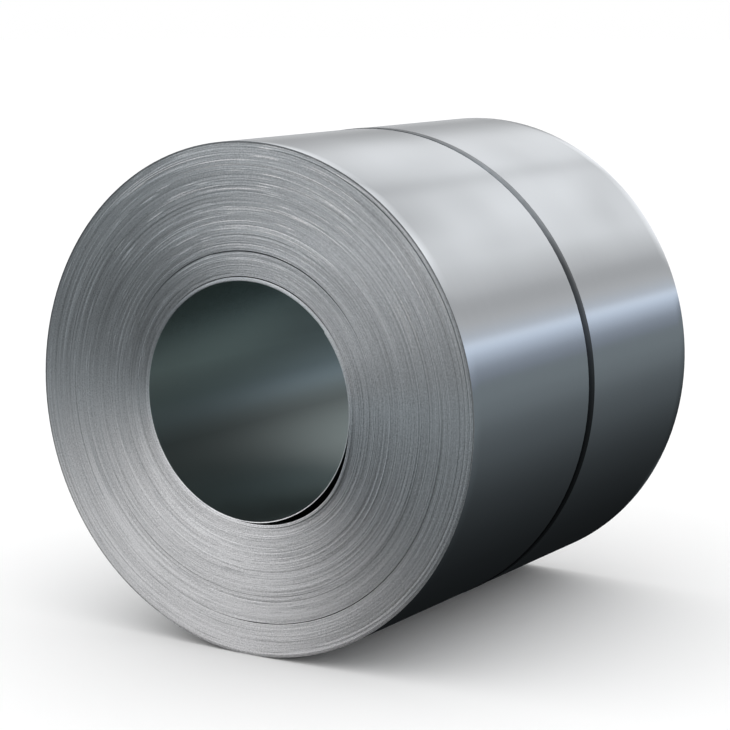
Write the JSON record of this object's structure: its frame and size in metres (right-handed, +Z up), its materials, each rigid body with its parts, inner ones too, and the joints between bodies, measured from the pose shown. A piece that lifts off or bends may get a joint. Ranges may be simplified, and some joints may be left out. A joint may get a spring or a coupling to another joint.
{
  "type": "steel coil",
  "caption": "Coil of cold-rolled strip steel lying on its side, with an open bore, wound ends and one steel strap around its middle.",
  "frame": {"origin": "on the floor under the middle of the coil: the centre of the box's underside, where the strap touches the floor", "axes": "+Z up; Y along the bore, with the front end at -Y; +X to the right as seen from the front end"},
  "size_m": [1.0936, 1.0044, 1.0936],
  "materials": {
    "rolled_steel": "cold-rolled, semi-bright on the faces of the strip, sheared and matt on its edges",
    "strap_steel": "blue-black waxed strapping steel"
  },
  "bodies": {
    "root": {"coil": "rolled_steel", "strap": "strap_steel", "strap_seal": "strap_steel"}
  },
  "joints": []
}
